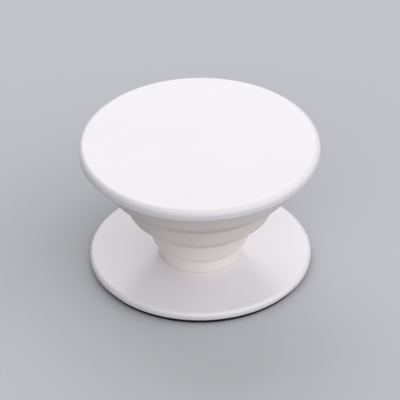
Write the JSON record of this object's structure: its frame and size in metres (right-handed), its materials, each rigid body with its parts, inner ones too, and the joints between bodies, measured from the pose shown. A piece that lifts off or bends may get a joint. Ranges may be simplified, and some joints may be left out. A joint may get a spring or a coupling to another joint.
{
  "type": "collapsible phone grip",
  "caption": "Round stick-on grip for the back of a handheld device: a crowned disc on a soft folding bellows stem that turns in an adhesive base plate.",
  "frame": {"origin": "middle of the adhesive face", "axes": "+Z along the axis of the grip, from the adhesive face to the disc; X and Y are free, as the grip is round"},
  "size_m": [0.04, 0.04, 0.0239],
  "materials": {
    "black_foam_tape": "matte closed-cell foam",
    "white_hard_plastic": "gloss moulded",
    "white_soft_plastic": "satin moulded"
  },
  "bodies": {
    "base": {"adhesive_pad": "black_foam_tape", "base_plate": "white_hard_plastic"},
    "stem": {"accordion": "white_soft_plastic"},
    "top": {"top_disc": "white_hard_plastic"}
  },
  "joints": [
    {"name": "stem_swivel", "type": "hinge", "parent": "base", "child": "stem", "pos_m": [0, 0, 0.0021], "axis": [0, 0, 1], "continuous": true},
    {"name": "collapse", "type": "slide", "parent": "stem", "child": "top", "axis": [0, 0, 1], "range_m": [-0.0149, 0], "deforming": ["accordion"]}
  ]
}
